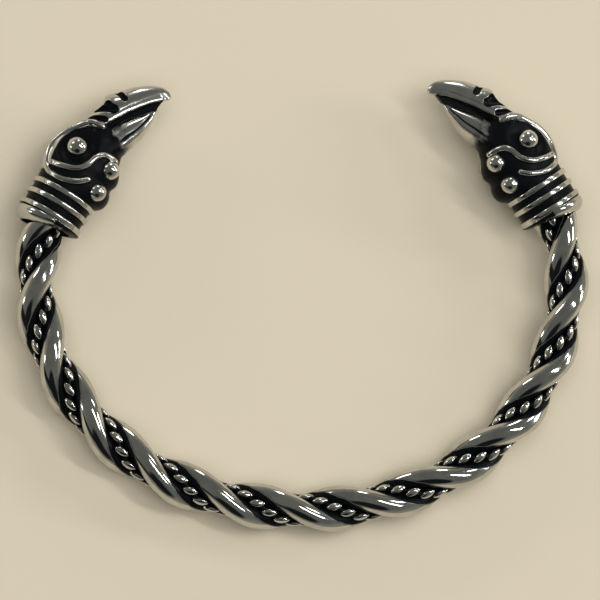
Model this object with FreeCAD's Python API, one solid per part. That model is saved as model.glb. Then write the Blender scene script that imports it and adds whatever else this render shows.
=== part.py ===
import FreeCAD, Part
import math
import os

# An open arm ring of twisted metal with a raven's head at each end, lying flat.
# Millimetres and degrees. X runs across the ring, Y from its closed back to its mouth, Z is up.
# The origin is under the middle of the ring, on the surface that it lies on.

# The hoop: two plain rods and two beaded wires twisted together round one centre line
ROD_RADIUS = 1.52
ROD_ORBIT = 1.57
WIRE_ORBIT = 1.78
WIRE_CORE_RADIUS = 0.30
BEAD_RADIUS = 0.53
BEAD_PITCH = 2.0
BEAD_SIDES = 10
TWIST_START = 24.0
TWIST_TOTAL = 2193.0
TWIST_UNEVENNESS = 19.0
TWIST_UNEVENNESS_SHIFT = 20.0
SECTIONS_PER_TURN = 9
DIRECTION_STEP = 0.01
ROD_END_IN_SOCKET = 2.6
WIRE_END_IN_SOCKET = 1.9

# A bead's outline along its wire: share of the pitch, share of the way from the core out to the bead's radius
BEAD_OUTLINE = (
    (0.00, 0.00),
    (0.20, 0.80),
    (0.50, 1.00),
    (0.80, 0.80),
)

# The centre line starts in the left socket and runs down, along the back and up to the right socket.
HOOP_START = (-34.52, 9.29)
HOOP_START_HEADING = 250.35
# Bends of the centre line: radius, turn to the left
HOOP_BENDS = (
    (20.3, 16.7),
    (26.4, 36.4),
    (33.4, 33.4),
    (45.0, 21.8),
    (41.0, 25.9),
    (32.8, 31.2),
    (29.8, 32.6),
    (21.9, 23.5),
)

# A raven head has its own frame: u along the neck to the beak, w out to the crown, z across.
# Its origin is the centre of the band next to the socket's mouth.
NECK_BEND = 11.4
MOUTH_U = -1.6
MOUTH_W = -0.2
MOUTH_RADIUS = 3.75
MOUTH_SWELL_RADIUS = 4.46
MOUTH_SWELL_SHARE = 0.6
MOUTH_ROOT_RADIUS = 4.52
MOUTH_ROOT_OVERLAP = 0.05
SOCKET_BORE_RADIUS = 3.35
SOCKET_BORE_DEPTH = 3.5
BAND_RADIUS = 4.62
GROOVE_RADIUS = 4.22
BAND_HALF_WIDTH = 0.33
BAND_STATIONS = (0.0, 1.75, 3.38)
BAND_CREST_INSET = 0.14
NECK_END_U = 4.3

# Skull sections, square to the neck: station, crown, throat, half breadth
SKULL_SECTIONS = (
    (3.6, 4.15, -4.20, 4.20),
    (5.6, 4.60, -5.35, 4.38),
    (7.6, 5.00, -5.40, 4.30),
    (9.6, 4.95, -4.95, 4.05),
    (11.5, 4.20, -4.25, 3.60),
    (13.0, 2.95, -3.30, 2.95),
    (14.2, 1.45, -1.95, 2.10),
    (14.9, 0.55, -1.05, 1.10),
)

# Upper mandible: point on the culmen (u, w), point on the cutting edge (u, w), half breadth
UPPER_MANDIBLE = (
    (12.0, 3.60, 11.4, -0.60, 3.35),
    (13.9, 2.65, 13.2, 0.40, 2.95),
    (15.6, 2.30, 14.7, -0.05, 2.60),
    (17.5, 2.15, 16.2, -0.75, 2.35),
    (19.1, 1.00, 17.8, -1.65, 2.05),
    (20.6, -0.15, 19.4, -2.70, 1.70),
    (21.9, -1.65, 20.8, -3.75, 1.25),
    (22.75, -3.10, 21.75, -4.60, 0.75),
    (22.95, -4.30, 22.40, -4.85, 0.28),
)

# Lower mandible: point on the cutting edge (u, w), point under the chin (u, w), half breadth
LOWER_MANDIBLE = (
    (11.3, -0.60, 10.8, -4.05, 3.20),
    (12.9, -0.90, 12.5, -4.20, 2.85),
    (14.4, -1.30, 14.2, -4.70, 2.50),
    (15.9, -2.00, 15.9, -5.02, 2.15),
    (17.4, -2.85, 17.6, -5.10, 1.70),
    (18.8, -3.75, 18.9, -4.98, 1.15),
    (19.9, -4.35, 19.9, -4.80, 0.40),
)

# The dark web that fills the open beak: its corners (u, w) and half breadth
MOUTH_WEB = (
    (10.5, 1.0), (14.3, 1.0), (18.0, -1.2), (21.6, -4.1),
    (21.3, -4.75), (19.6, -4.6), (15.0, -2.2), (10.5, -2.2),
)
MOUTH_WEB_HALF_BREADTH = 0.70

# Round balls on each cheek: u, w, height of the centre, radius
CHEEK_BALLS = (
    (9.50, 1.85, 3.10, 1.38),
    (9.15, -3.53, 2.92, 1.25),
    (5.50, -3.55, 3.12, 1.20),
)

# The eye socket is a shallow round hollow: centre (u, w), rim radius, depth and the cheek's height there
EYE_SOCKET_U = 9.55
EYE_SOCKET_W = 1.85
EYE_SOCKET_RIM = 2.75
EYE_SOCKET_DEPTH = 0.95
EYE_SOCKET_FACE = 3.85

# Hollows cut into both flanks of the brow: first end (u, w, height), second end (u, w, height), radius
BROW_HOLLOWS = (
    (13.75, 2.60, 2.30, 14.85, 0.70, 3.20, 0.45),
    (15.75, 1.95, 2.25, 16.65, 0.65, 2.80, 0.95),
    (19.05, 1.05, 1.55, 18.80, 0.05, 2.30, 0.48),
)

# Raised wires on each cheek follow the skull's surface through these points (u, w).
CREST_WIRE = (
    (13.40, 0.70), (13.00, 2.05), (11.90, 3.30), (10.30, 4.25), (8.20, 4.72),
    (6.30, 4.38), (5.10, 3.60), (4.72, 2.40), (4.80, 1.00), (5.50, -0.50), (6.45, -1.60),
)
RIM_WIRE = (
    (6.20, 4.05), (6.20, 2.60), (6.80, 0.80), (8.05, -0.42), (9.45, -0.90), (10.35, -1.60), (10.70, -2.70),
)
RELIEF_WIRE_RADIUS = 0.34
LOWEST_CHEEK_SHARE = 0.02

# How the ring lies: its back sinks until it touches, and the floor is at height zero
REST_PITCH = 2.25
GROUND_SHIFT = (-0.63, 0.47, 4.20)

HOOP_LENGTH = sum(radius * math.radians(turn) for radius, turn in HOOP_BENDS)


# The hoop's centre line
def along_hoop(station):
    """Point and heading, in radians, of the centre line at a distance from its start."""
    x, y = HOOP_START
    heading = math.radians(HOOP_START_HEADING)
    if station < 0.0:
        return x + station * math.cos(heading), y + station * math.sin(heading), heading
    left = station
    for radius, turn in HOOP_BENDS:
        angle = min(math.radians(turn), left / radius)
        x += radius * (math.sin(heading + angle) - math.sin(heading))
        y += radius * (math.cos(heading) - math.cos(heading + angle))
        heading += angle
        left -= radius * angle
    return x + left * math.cos(heading), y + left * math.sin(heading), heading


def twist(station):
    """Angle of the first beaded wire round the centre line, in radians from the inner side."""
    share = station / HOOP_LENGTH
    wave = math.sin(2.0 * math.pi * share + math.radians(TWIST_UNEVENNESS_SHIFT))
    return math.radians(TWIST_START + TWIST_TOTAL * share + TWIST_UNEVENNESS * wave)


def strand_point(station, orbit, lead):
    """Centre of a strand that circles the centre line at the orbit, a lead angle ahead of the first wire."""
    x, y, heading = along_hoop(station)
    angle = twist(station) + lead
    inward = orbit * math.cos(angle)
    return FreeCAD.Vector(
        x - inward * math.sin(heading),
        y + inward * math.cos(heading),
        orbit * math.sin(angle),
    )


def strand_frame(station, orbit, lead):
    """Centre, direction, and two directions square to it, the first of them away from the centre line."""
    step = DIRECTION_STEP
    centre = strand_point(station, orbit, lead)
    ahead = strand_point(station + step, orbit, lead)
    behind = strand_point(station - step, orbit, lead)
    direction = (ahead - behind).normalize()
    x, y, _ = along_hoop(station)
    outward = centre - FreeCAD.Vector(x, y, 0.0)
    outward = (outward - direction * outward.dot(direction)).normalize()
    return centre, direction, outward, direction.cross(outward)


# The two plain rods
def plain_strand(lead):
    first = -ROD_END_IN_SOCKET
    length = HOOP_LENGTH + 2.0 * ROD_END_IN_SOCKET
    count = round(SECTIONS_PER_TURN * TWIST_TOTAL / 360.0)
    sections = []
    for index in range(count + 1):
        station = first + length * index / count
        centre, direction, outward, side = strand_frame(station, ROD_ORBIT, lead)
        place = FreeCAD.Matrix(
            outward.x, side.x, direction.x, centre.x,
            outward.y, side.y, direction.y, centre.y,
            outward.z, side.z, direction.z, centre.z,
            0.0, 0.0, 0.0, 1.0,
        )
        edge = Part.makeCircle(ROD_RADIUS)
        edge.Placement = FreeCAD.Placement(place)
        sections.append(Part.Wire([edge]))
    return Part.makeLoft(sections, True)


# The two beaded wires
def beaded_strand(lead):
    stretch = math.hypot(1.0, WIRE_ORBIT * math.radians(TWIST_TOTAL) / HOOP_LENGTH)
    first = -WIRE_END_IN_SOCKET
    length = HOOP_LENGTH + 2.0 * WIRE_END_IN_SOCKET
    beads = round(length * stretch / BEAD_PITCH)
    rings = []
    for bead in range(beads):
        for share, rise in BEAD_OUTLINE:
            station = first + length * (bead + share) / beads
            radius = WIRE_CORE_RADIUS + rise * (BEAD_RADIUS - WIRE_CORE_RADIUS)
            rings.append(bead_ring(station, radius, lead))
    rings.append(bead_ring(first + length, WIRE_CORE_RADIUS, lead))
    return faceted_tube(rings)


def bead_ring(station, radius, lead):
    centre, _, outward, side = strand_frame(station, WIRE_ORBIT, lead)
    angles = [2.0 * math.pi * k / BEAD_SIDES for k in range(BEAD_SIDES)]
    return [centre + outward * (radius * math.cos(a)) + side * (radius * math.sin(a)) for a in angles]


def faceted_tube(rings):
    """Closed solid of flat triangles through rings of points, with a flat cap at each end."""
    faces = [Part.Face(Part.makePolygon(list(reversed(rings[0])) + [rings[0][-1]]))]
    for ring, following in zip(rings, rings[1:]):
        for k in range(BEAD_SIDES):
            n = (k + 1) % BEAD_SIDES
            for corners in ((ring[k], ring[n], following[n]), (ring[k], following[n], following[k])):
                faces.append(Part.Face(Part.makePolygon([*corners, corners[0]])))
    faces.append(Part.Face(Part.makePolygon(rings[-1] + [rings[-1][0]])))
    return Part.Solid(Part.makeShell(faces))


# The raven head, made once in its own frame
def ellipse_between(top, bottom, half_breadth):
    """Elliptic wire in the plane through two points of the (u, w) plane and square to it."""
    high = FreeCAD.Vector(top[0], top[1], 0.0)
    low = FreeCAD.Vector(bottom[0], bottom[1], 0.0)
    centre = (high + low) * 0.5
    half_height = (high - low).Length * 0.5
    upward = (high - low).normalize()
    across = FreeCAD.Vector(0.0, 0.0, 1.0)
    if half_height >= half_breadth:
        curve = Part.Ellipse(centre + upward * half_height, centre + across * half_breadth, centre)
    else:
        curve = Part.Ellipse(centre + across * half_breadth, centre + upward * half_height, centre)
    return Part.Wire([curve.toShape()])


def skull():
    sections = [
        ellipse_between((u, crown), (u, throat), breadth)
        for u, crown, throat, breadth in SKULL_SECTIONS
    ]
    return Part.makeLoft(sections, True)


def mandible(table):
    sections = [
        ellipse_between((top_u, top_w), (low_u, low_w), breadth)
        for top_u, top_w, low_u, low_w, breadth in table
    ]
    return Part.makeLoft(sections, True)


def mouth_web():
    corners = [FreeCAD.Vector(u, w, -MOUTH_WEB_HALF_BREADTH) for u, w in MOUTH_WEB]
    face = Part.Face(Part.makePolygon(corners + [corners[0]]))
    return face.extrude(FreeCAD.Vector(0.0, 0.0, 2.0 * MOUTH_WEB_HALF_BREADTH))


def banded_neck():
    """Neck with raised bands, turned about the neck's axis."""
    first = BAND_STATIONS[0] - BAND_HALF_WIDTH
    outline = [(first, 0.0)]
    for station in BAND_STATIONS:
        low = station - BAND_HALF_WIDTH
        high = station + BAND_HALF_WIDTH
        outline += [
            (low, GROOVE_RADIUS),
            (low, BAND_RADIUS - BAND_CREST_INSET),
            (low + BAND_CREST_INSET, BAND_RADIUS),
            (high - BAND_CREST_INSET, BAND_RADIUS),
            (high, BAND_RADIUS - BAND_CREST_INSET),
            (high, GROOVE_RADIUS),
        ]
    outline += [(NECK_END_U, GROOVE_RADIUS), (NECK_END_U, 0.0)]
    corners = [FreeCAD.Vector(u, radius, 0.0) for u, radius in outline]
    face = Part.Face(Part.makePolygon(corners + [corners[0]]))
    return face.revolve(FreeCAD.Vector(0.0, 0.0, 0.0), FreeCAD.Vector(1.0, 0.0, 0.0), 360.0)


def tilted_circle(u, w, tilt, radius):
    """Circle whose axis is turned towards the throat by the tilt."""
    angle = math.radians(tilt)
    axis = FreeCAD.Vector(math.cos(angle), math.sin(angle), 0.0)
    return Part.Wire([Part.makeCircle(radius, FreeCAD.Vector(u, w, 0.0), axis)])


def socket_mouth():
    """Swollen end of the socket, from the first band to the mouth that faces along the hoop."""
    first = BAND_STATIONS[0] - BAND_HALF_WIDTH
    share = MOUTH_SWELL_SHARE
    swell_u = first + share * (MOUTH_U - first)
    sections = [
        tilted_circle(first + MOUTH_ROOT_OVERLAP, 0.0, 0.0, MOUTH_ROOT_RADIUS),
        tilted_circle(swell_u, share * MOUTH_W, share * NECK_BEND, MOUTH_SWELL_RADIUS),
        tilted_circle(MOUTH_U, MOUTH_W, NECK_BEND, MOUTH_RADIUS),
    ]
    return Part.makeLoft(sections, True)


def socket_bore():
    """Round hole that the ends of the strands go into."""
    angle = math.radians(NECK_BEND)
    axis = FreeCAD.Vector(math.cos(angle), math.sin(angle), 0.0)
    start = FreeCAD.Vector(MOUTH_U, MOUTH_W, 0.0) - axis * SOCKET_BORE_DEPTH
    return Part.makeCylinder(SOCKET_BORE_RADIUS, 2.0 * SOCKET_BORE_DEPTH, start, axis)


def both_cheeks(shape):
    return [shape, shape.mirror(FreeCAD.Vector(0.0, 0.0, 0.0), FreeCAD.Vector(0.0, 0.0, 1.0))]


def cheek_height(u, w):
    """Height of the skull's surface over the point (u, w)."""
    table = SKULL_SECTIONS
    index = 0
    while index < len(table) - 2 and u > table[index + 1][0]:
        index += 1
    share = (u - table[index][0]) / (table[index + 1][0] - table[index][0])
    crown, throat, breadth = (
        table[index][k] + share * (table[index + 1][k] - table[index][k]) for k in (1, 2, 3)
    )
    middle = 0.5 * (crown + throat)
    half = 0.5 * (crown - throat)
    inside = 1.0 - ((w - middle) / half) ** 2
    return breadth * math.sqrt(max(inside, LOWEST_CHEEK_SHARE))


def relief_wire(points):
    """Round wire half sunk in the cheek."""
    path = Part.BSplineCurve()
    path.interpolate([FreeCAD.Vector(u, w, cheek_height(u, w)) for u, w in points])
    spine = Part.Wire([path.toShape()])
    start = path.value(path.FirstParameter)
    tangent = path.tangent(path.FirstParameter)[0]
    section = Part.Wire([Part.makeCircle(RELIEF_WIRE_RADIUS, start, tangent)])
    return spine.makePipeShell([section], True, False)


def eye_socket():
    cutter = (EYE_SOCKET_RIM ** 2 + EYE_SOCKET_DEPTH ** 2) / (2.0 * EYE_SOCKET_DEPTH)
    height = EYE_SOCKET_FACE - EYE_SOCKET_DEPTH + cutter
    return Part.makeSphere(cutter, FreeCAD.Vector(EYE_SOCKET_U, EYE_SOCKET_W, height))


def brow_hollow(first_u, first_w, first_height, last_u, last_w, last_height, radius):
    """Cutter with round ends for a long hollow."""
    first = FreeCAD.Vector(first_u, first_w, first_height)
    last = FreeCAD.Vector(last_u, last_w, last_height)
    bar = Part.makeCylinder(radius, (last - first).Length, first, last - first)
    return bar.fuse([Part.makeSphere(radius, first), Part.makeSphere(radius, last)])


def raven_head():
    body = skull().fuse([mandible(UPPER_MANDIBLE), mandible(LOWER_MANDIBLE), mouth_web(), banded_neck()])
    body = body.fuse(socket_mouth())
    cutters = both_cheeks(eye_socket())
    for hollow in BROW_HOLLOWS:
        cutters += both_cheeks(brow_hollow(*hollow))
    body = body.cut(cutters)
    raised = []
    for u, w, height, radius in CHEEK_BALLS:
        raised += both_cheeks(Part.makeSphere(radius, FreeCAD.Vector(u, w, height)))
    for points in (CREST_WIRE, RIM_WIRE):
        raised += both_cheeks(relief_wire(points))
    body = body.fuse(raised)
    return body.cut(socket_bore())


# Placing
def head_placement(station, side):
    """Where a head's frame lies on the hoop; side is 1 for the left head and -1 for the right one."""
    x, y, heading = along_hoop(station)
    out = heading + math.pi if side > 0 else heading
    axis = out - side * math.radians(NECK_BEND)
    u = FreeCAD.Vector(math.cos(axis), math.sin(axis), 0.0)
    w = FreeCAD.Vector(-math.sin(axis), math.cos(axis), 0.0) * side
    z = FreeCAD.Vector(0.0, 0.0, side)
    origin = FreeCAD.Vector(x, y, 0.0) - u * MOUTH_U - w * MOUTH_W
    return FreeCAD.Matrix(
        u.x, w.x, z.x, origin.x,
        u.y, w.y, z.y, origin.y,
        u.z, w.z, z.z, origin.z,
        0.0, 0.0, 0.0, 1.0,
    )


def placed(shape, matrix):
    copy = shape.copy()
    copy.Placement = FreeCAD.Placement(matrix)
    return copy


def laid_down(shape):
    """Turns the flat ring to lie as it rests, on both sockets and on the back of the hoop."""
    copy = shape.copy()
    lie = FreeCAD.Placement(
        FreeCAD.Vector(*GROUND_SHIFT),
        FreeCAD.Rotation(FreeCAD.Vector(1.0, 0.0, 0.0), REST_PITCH),
    )
    copy.Placement = lie.multiply(copy.Placement)
    return copy


def main():
    os.makedirs("parts", exist_ok=True)
    head = raven_head()
    ring = {
        "plain_strand_1": plain_strand(0.5 * math.pi),
        "plain_strand_2": plain_strand(1.5 * math.pi),
        "beaded_strand_1": beaded_strand(0.0),
        "beaded_strand_2": beaded_strand(math.pi),
        "raven_head_left": placed(head, head_placement(0.0, 1)),
        "raven_head_right": placed(head, head_placement(HOOP_LENGTH, -1)),
    }
    for name, shape in ring.items():
        shape = laid_down(shape)
        solid = shape.Solids[0]
        solid.exportStep(f"parts/{name}.step")
        box = solid.optimalBoundingBox(True, False)
        print(name, solid.isValid(), len(shape.Solids), round(solid.Volume, 1), box)


main()
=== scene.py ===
import functools
import math

import bpy
import numpy as np
from mathutils import Matrix, Vector


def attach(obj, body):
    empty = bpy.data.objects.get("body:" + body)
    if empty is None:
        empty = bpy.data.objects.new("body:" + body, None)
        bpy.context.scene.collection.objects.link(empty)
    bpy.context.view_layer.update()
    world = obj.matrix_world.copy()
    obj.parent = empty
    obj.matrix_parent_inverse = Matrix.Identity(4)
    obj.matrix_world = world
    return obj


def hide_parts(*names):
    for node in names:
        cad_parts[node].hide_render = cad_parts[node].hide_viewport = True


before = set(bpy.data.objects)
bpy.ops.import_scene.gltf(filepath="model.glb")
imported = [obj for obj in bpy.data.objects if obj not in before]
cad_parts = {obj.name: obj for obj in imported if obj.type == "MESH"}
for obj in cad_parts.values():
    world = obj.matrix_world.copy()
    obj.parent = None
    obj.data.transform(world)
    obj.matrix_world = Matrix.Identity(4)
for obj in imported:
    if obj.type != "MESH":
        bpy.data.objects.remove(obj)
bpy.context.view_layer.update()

# An open arm ring of twisted rods and beaded wires, with a cast raven head at each end.
# Lengths are in millimetres and angles in degrees, in the ring's own plane, where nothing else is said.
# Each piece is then laid down and turned to metres.
MM = 0.001

# The hoop's centre line: start, heading and bends (radius, turn to the left)
HOOP_START = (-34.52, 9.29)
HOOP_START_HEADING = 250.35
HOOP_BENDS = (
    (20.3, 16.7),
    (26.4, 36.4),
    (33.4, 33.4),
    (45.0, 21.8),
    (41.0, 25.9),
    (32.8, 31.2),
    (29.8, 32.6),
    (21.9, 23.5),
)
HOOP_LENGTH = sum(radius * math.radians(turn) for radius, turn in HOOP_BENDS)
CENTRE_LINE_STATIONS = 900

# Twist round the centre line: where it starts, how far it turns, and how much it runs ahead and lags
TWIST_START = 24.0
TWIST_TOTAL = 2193.0
TWIST_UNEVENNESS = 19.0
TWIST_UNEVENNESS_SHIFT = 20.0

# The two rods
ROD_RADIUS = 1.52
ROD_ORBIT = 1.57
ROD_END_IN_SOCKET = 2.6
ROD_SIDES = 48

# The two beaded wires: a thin core, and slanted grains on it that narrow towards their ends
WIRE_ORBIT = 1.78
WIRE_RADIUS = 0.30
WIRE_SIDES = 12
WIRE_END_IN_SOCKET = 1.9
GRAIN_PITCH = 2.0
GRAIN_LENGTH = 2.40
GRAIN_WIDTH = 1.06
GRAIN_HEIGHT = 0.48
GRAIN_SLANT = 33.0
GRAIN_NARROWING = 1.5
GRAIN_DOME_POWER = 0.5
GRAIN_SEGMENTS = 12
GRAIN_RINGS = 7

# How the ring lies
REST_PITCH = 2.25
GROUND_SHIFT = (-0.63, 0.47, 4.20)

# The photograph's frame: square, this wide in the ring's plane, from a camera a little to the left and below
PICTURE_WIDTH = 81.0
CAMERA_DISTANCE = 600.0
CAMERA_LEAN = (-0.15, -0.08, 1.0)
CAMERA_SENSOR = 36.0
CAMERA_CLIP_START = 10.0

# Floor, in metres
FLOOR_HALF_WIDTH = 1.5
FLOOR_COLOUR = (0.60, 0.53, 0.40, 1.0)
FLOOR_ROUGHNESS = 0.9

# Strip lamps seen in the metal, all as far away: heading and height of each end, breadth, watts; in metres
LAMP_DISTANCE = 1.2
LAMPS = (
    (44.0, 66.0, -6.0, 44.0, 0.08, 3.4),
    (45.0, 37.0, 32.0, 32.0, 0.07, 1.0),
    (18.0, 25.0, -2.0, 12.0, 0.12, 3.0),
    (79.0, 16.0, 89.0, 19.0, 0.16, 1.0),
    (142.0, 15.0, 130.0, 23.0, 0.12, 1.2),
    (175.0, 8.0, 182.0, 13.0, 0.14, 0.8),
)

# A wide soft lamp over the ring lights the floor; in metres
SOFT_LAMP_WATTS = 17.0
SOFT_LAMP_SIZE = 1.6
SOFT_LAMP_HEIGHT = 1.4

# Grey room: its tone low down and high up, and the sines of the heights between which it changes
ROOM_LOW = (0.31, 0.295, 0.245, 1.0)
ROOM_HIGH = (0.155, 0.162, 0.150, 1.0)
ROOM_CHANGE = (0.05, 0.65)
# Dark side of the room: its tone, its middle, and the cosines where its edge starts and ends
ROOM_DARK = (0.012, 0.013, 0.015, 1.0)
ROOM_DARK_SIDE = (-0.10, -0.76, 0.64)
ROOM_DARK_EDGE = (0.86, 0.93)
# A dark band runs from there down to the floor at the left: its middle, the pole that it circles,
# and the cosines where its ends and its edges start and end
ROOM_BAND_MIDDLE = (-0.66, -0.66, 0.36)
ROOM_BAND_POLE = (-0.04, 0.59, 0.805)
ROOM_BAND_ENDS = (0.55, 0.85)
ROOM_BAND_EDGE = (0.12, 0.18)

# Steel and the black patina in its hollows; the scales of their unevenness are in spots a metre
BRIGHT_STEEL = (0.61, 0.60, 0.565, 1.0)
DULL_STEEL = (0.50, 0.495, 0.47, 1.0)
BLACK_PATINA = (0.0025, 0.0034, 0.0040, 1.0)
PATINA_ROUGHNESS = 0.32
PATINA_GLOSS = 0.06
PATINA_EDGE_SCALE = 900.0
PATINA_EDGE_DETAIL = 4.0
PATINA_EDGE_WANDER = 1.2
METAL_FROM_POLISH = (0.0, 0.5)
HANDLING_SCALE = 420.0
HANDLING_DETAIL = 5.0
HANDLING_RANGE = (0.36, 0.64)
HANDLING_DULLNESS = 0.05
WAVINESS_SCALE = 420.0
WAVINESS_DETAIL = 2.0
WAVINESS_STRENGTH = 0.14
WAVINESS_DEPTH = 0.08

# Finishes: where a piece's polish starts and is full, and its roughness when polished. The polish goes by
# the distance from the hoop's centre line on rods, and by the height on a grain on wires
ROD_POLISH = (2.34, 2.58)
ROD_ROUGHNESS = 0.07
WIRE_POLISH = (0.04, 0.16)
WIRE_ROUGHNESS = 0.14
HEAD_POLISH = (0.25, 0.75)
HEAD_ROUGHNESS = 0.14

# Raven head: u along the neck to the beak, w out to the crown, z across; origin at the last band.
# The grid that its skin is drawn on: cell, lowest and highest corner (u, w), half breadth
HEAD_GRID = 0.115
HEAD_LOW = (-2.6, -6.2)
HEAD_HIGH = (23.6, 6.0)
HEAD_HALF_BREADTH = 5.2
# Rounds that bring the skin onto the surface, reach for measuring its slope, least square of the slope
SKIN_ROUNDS = 2
SLOPE_REACH = 0.02
SLOPE_LEAST = 0.25
# Distance where no solid is near, and least values that keep a division sound
FAR_AWAY = 1e3
LEAST_SHARE = 1e-4
LEAST_RUN = 1e-3

# Socket, with three bands; its mouth and bore are turned by the neck's bend
NECK_BEND = 11.4
NECK_END_U = 4.3
MOUTH_U = -1.6
MOUTH_W = -0.2
SOCKET_BORE_RADIUS = 3.35
SOCKET_BORE_DEPTH = 3.5
BAND_STATIONS = (0.0, 1.75, 3.38)
BAND_RADIUS = 4.62
BAND_INNER_RADIUS = 3.6
BAND_HALF_WIDTH = 0.35
BAND_ROUNDING = 0.15
GROOVE_RADIUS = 4.22

# Swelling of the socket's mouth: share of the way from the last band to the mouth, radius
MOUTH_SWELL = (
    (0.0, 4.22),
    (0.12, 4.44),
    (0.35, 4.60),
    (0.6, 4.48),
    (0.85, 4.10),
    (1.0, 3.72),
)
MOUTH_UNDER_BAND = 0.1
MOUTH_ROUNDING = 0.25

# Skull sections: station u, crown, throat, half breadth
SKULL_SECTIONS = (
    (3.6, 4.15, -4.30, 4.20),
    (4.4, 4.30, -5.25, 4.28),
    (5.4, 4.55, -5.60, 4.36),
    (6.3, 4.78, -5.45, 4.36),
    (7.0, 4.92, -5.12, 4.33),
    (8.2, 5.05, -5.42, 4.25),
    (9.4, 4.98, -5.12, 4.08),
    (10.5, 4.66, -4.40, 3.84),
    (11.5, 4.20, -4.08, 3.60),
    (13.0, 2.95, -3.30, 2.95),
    (14.2, 1.45, -1.95, 2.10),
    (14.9, 0.55, -1.05, 1.10),
)
CHEEK_LEAST_SHARE = 0.05

# Upper mandible in its own frame: v along it, culmen height, cutting edge height, half breadth
UPPER_ROOT = (13.0, 1.0)
UPPER_SLOPE = -35.0
UPPER_MANDIBLE = (
    (-0.7, 1.95, 0.00, 2.95),
    (0.2, 2.15, 0.15, 2.90),
    (1.1, 2.47, 0.25, 2.72),
    (1.9, 2.66, 0.35, 2.55),
    (2.6, 3.10, 0.42, 2.42),
    (3.2, 3.62, 0.48, 2.32),
    (3.9, 3.74, 0.54, 2.20),
    (4.6, 3.58, 0.62, 2.08),
    (6.4, 3.46, 0.66, 1.76),
    (7.4, 3.34, 0.66, 1.56),
    (9.0, 2.86, 0.58, 1.18),
    (10.3, 2.24, 0.36, 0.82),
    (11.1, 1.62, 0.24, 0.52),
    (11.5, 1.02, 0.42, 0.26),
)
UPPER_ROUNDNESS = 2.1
UPPER_UNDERSIDE = 0.30
UPPER_UNDERSIDE_ROUNDNESS = 3.0
UPPER_FLANK_TOP_SHARE = 0.99

# Fine groove that sets the lip off from the upper mandible's flank; height is over the cutting edge
LIP_HEIGHT = 0.50
LIP_WIDTH = 0.20
LIP_DEPTH = 0.025
LIP_START_V = (0.2, 1.5)
LIP_END_V = (9.5, 10.9)

# Lower mandible in its own frame: v, cutting edge height, chin height, half breadth
LOWER_ROOT = (12.8, -0.66)
LOWER_SLOPE = -28.0
LOWER_MANDIBLE = (
    (-1.8, 0.45, -3.20, 3.22),
    (-0.6, 0.55, -3.24, 3.12),
    (0.6, 0.66, -3.28, 3.00),
    (1.7, 0.82, -3.17, 2.78),
    (2.9, 0.88, -2.92, 2.48),
    (4.5, 0.66, -2.52, 2.03),
    (5.9, 0.34, -1.81, 1.56),
    (7.4, 0.04, -0.93, 0.92),
    (8.2, -0.10, -0.35, 0.34),
)
LOWER_RIDGE_SHARE = 0.34
LOWER_FLANK_ROUNDNESS = 2.7
LOWER_CHIN_ROUNDNESS = 2.0

# The lower flank is set back from the ridge, with a groove between; heights are over the ridge
FLANK_SETBACK = 0.12
FLANK_SETBACK_HEIGHT = (0.05, 0.30)
RIDGE_GROOVE_HEIGHT = 0.26
RIDGE_GROOVE_WIDTH = 0.22
RIDGE_GROOVE_DEPTH = 0.06
FLANK_START_V = (0.8, 2.2)
FLANK_END_V = (6.8, 7.9)

# The dark web that fills the open beak: corners (u, w), anticlockwise, and half breadth
MOUTH_WEB = ((10.5, -2.6), (19.6, -4.6), (21.3, -4.75), (21.6, -4.1), (18.0, -1.2), (14.3, 1.0), (10.5, 1.0))
MOUTH_WEB_HALF_BREADTH = 0.70

# Balls on each cheek: u, w, height of the centre, radius
CHEEK_BALLS = (
    (9.50, 1.85, 3.25, 1.44),
    (9.20, -3.50, 3.02, 1.28),
    (5.75, -3.52, 3.20, 1.24),
)

# Eye socket: a bowl with an oval rim; rim and slope are shares of its half sizes
EYE_SOCKET_PLACE = (9.70, 1.75)
EYE_SOCKET_HALF = (3.05, 2.50)
EYE_SOCKET_SLANT = -20.0
EYE_SOCKET_DEPTH = 0.95
EYE_SOCKET_RIM = 1.08
EYE_SOCKET_SLOPE = 0.80
EYE_SOCKET_Z = (1.0, 2.0)

# Hollows in both flanks of the brow: first end (u, w), second end (u, w), radius, depth
BROW_HOLLOWS = (
    (13.95, 2.40, 14.80, 0.70, 0.42, 0.45),
    (15.65, 2.05, 16.75, 0.40, 0.62, 0.62),
    (16.90, 1.45, 16.60, 0.40, 0.55, 0.60),
    (19.10, 0.95, 18.75, -0.15, 0.42, 0.45),
)

# Raised wires on each cheek: points (u, w) that they run through
CREST_WIRE = (
    (13.70, 0.45), (13.45, 1.95), (12.00, 3.35), (10.30, 4.45), (8.20, 4.92),
    (6.30, 4.50), (5.05, 3.70), (4.70, 2.60), (4.75, 1.20), (5.45, -0.45), (6.40, -1.57),
)
RIM_WIRE = (
    (6.10, 3.75), (6.25, 2.45), (6.85, 0.65), (8.10, -0.48), (9.50, -0.92),
    (10.40, -1.60), (10.70, -2.70), (10.65, -3.50),
)
RELIEF_WIRE_RADIUS = 0.40
WIRE_SWELLING = 0.20
WIRE_SWELLING_U = 12.6
WIRE_SWELLING_WIDTH = 0.9
CREST_WIRE_ON_BEAK_U = 12.7
WIRE_POINTS_EACH_RUN = 7
WIRE_LEVELLING_POINTS = 7
WIRE_NEAR_BODY = 1.0

# Fillets where the parts of the casting meet
NECK_FILLET = 0.3
BEAK_FILLET = 0.30
BAND_FILLET = 0.06
BALL_FILLET = 0.10
WIRE_FILLET = 0.12
HOLLOW_FILLET = 0.15

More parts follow.
